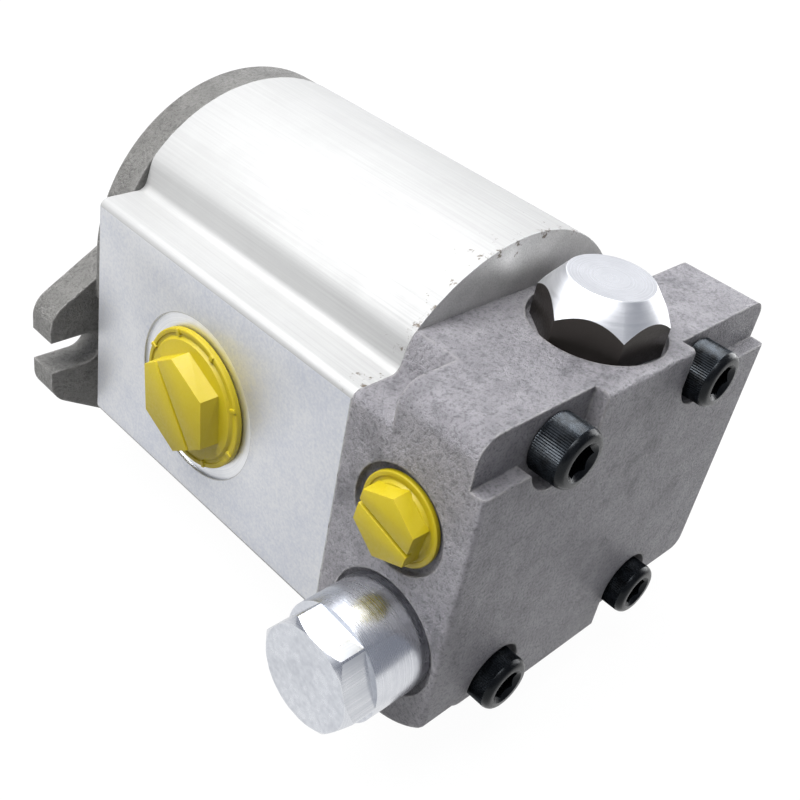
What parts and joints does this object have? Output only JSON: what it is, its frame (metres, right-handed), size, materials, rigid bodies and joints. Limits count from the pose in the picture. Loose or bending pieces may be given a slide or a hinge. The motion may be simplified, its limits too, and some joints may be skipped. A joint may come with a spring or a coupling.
{
  "type": "hydraulic gear pump",
  "caption": "Gear pump with an eared mounting flange, domed extruded body, keyed drive shaft and a thick rear cover that holds a relief valve and a priority spool, its ports plugged.",
  "frame": {"origin": "centre of the pilot on the mounting face of the flange, on the drive shaft's axis", "axes": "+Y along the drive shaft out of the pump, +Z from the drive shaft to the driven gear, so the pressure port faces -X and the rear cover faces -Y"},
  "size_m": [0.1455, 0.2151, 0.1312],
  "materials": {
    "extruded_aluminium": "extruded, sawn and milled, clear",
    "cast_iron": "sand cast, bare, machined where it seals",
    "black_steel": "black oxide, knurled heads",
    "sleeve_steel": "ground",
    "gear_steel": "case hardened and ground",
    "key_steel": "drawn",
    "block_aluminium": "die cast and turned",
    "bush_bronze": "sintered bronze on steel",
    "seal_rubber": "moulded nitrile",
    "backup_plastic": "moulded",
    "pressed_steel": "pressed sheet",
    "spring_steel": "drawn wire and phosphated strip",
    "plated_steel": "turned, zinc plated",
    "turned_steel": "turned, clear zinc",
    "valve_steel": "hardened and ground",
    "yellow_plastic": "moulded polyethylene"
  },
  "bodies": {
    "housing": {"front_flange": "cast_iron", "pump_body": "extruded_aluminium", "rear_cover": "cast_iron", "cover_screws": "black_steel", "dowel_sleeves": "sleeve_steel", "front_bearing_block": "block_aluminium", "rear_bearing_block": "block_aluminium", "bearing_bushes": "bush_bronze", "front_body_seal": "seal_rubber", "rear_body_seal": "seal_rubber", "block_seals": "seal_rubber", "block_backup_strips": "backup_plastic", "shaft_seal_case": "pressed_steel", "shaft_seal_lip": "seal_rubber", "shaft_seal_spring": "spring_steel", "seal_retaining_ring": "spring_steel", "relief_cap": "plated_steel", "relief_cap_seal": "seal_rubber", "relief_shim": "plated_steel", "relief_seat": "valve_steel", "top_plug": "turned_steel", "top_plug_seal": "seal_rubber"},
    "drive_shaft": {"drive_gear_shaft": "gear_steel", "shaft_key": "key_steel"},
    "driven_gear": {"driven_gear_shaft": "gear_steel"},
    "poppet": {"relief_poppet": "valve_steel", "relief_spring": "spring_steel"},
    "spool": {"priority_spool": "valve_steel", "spool_spring": "spring_steel"},
    "pressure_plug": {"body_port_plug": "yellow_plastic"},
    "small_plug": {"cover_port_plug": "yellow_plastic"},
    "suction_plug": {"inlet_port_plug": "yellow_plastic"}
  },
  "joints": [
    {"name": "drive_spin", "type": "hinge", "parent": "housing", "child": "drive_shaft", "pos_m": [0, 0, 0], "axis": [0, 1, 0], "continuous": true},
    {"name": "driven_spin", "type": "hinge", "parent": "housing", "child": "driven_gear", "pos_m": [0, 0, 0.0408], "axis": [0, 1, 0], "continuous": true},
    {"name": "relief_lift", "type": "slide", "parent": "housing", "child": "poppet", "axis": [-1, 0, 0], "range_m": [0, 0.0025], "stiffness_N_per_m": 2000, "springref_m": -0.008, "deforming": ["relief_spring"]},
    {"name": "spool_shift", "type": "slide", "parent": "housing", "child": "spool", "axis": [0, 0, 1], "range_m": [0, 0.006], "stiffness_N_per_m": 2000, "springref_m": -0.006, "deforming": ["spool_spring"]},
    {"name": "pressure_plug_out", "type": "slide", "parent": "housing", "child": "pressure_plug", "axis": [-1, 0, 0], "range_m": [0, 0.03]},
    {"name": "small_plug_out", "type": "slide", "parent": "housing", "child": "small_plug", "axis": [-1, 0, 0], "range_m": [0, 0.03]},
    {"name": "suction_plug_out", "type": "slide", "parent": "housing", "child": "suction_plug", "axis": [1, 0, 0], "range_m": [0, 0.03]}
  ],
  "couplings": [
    {"joint": "driven_spin", "follows": "drive_spin", "ratio": -1}
  ]
}
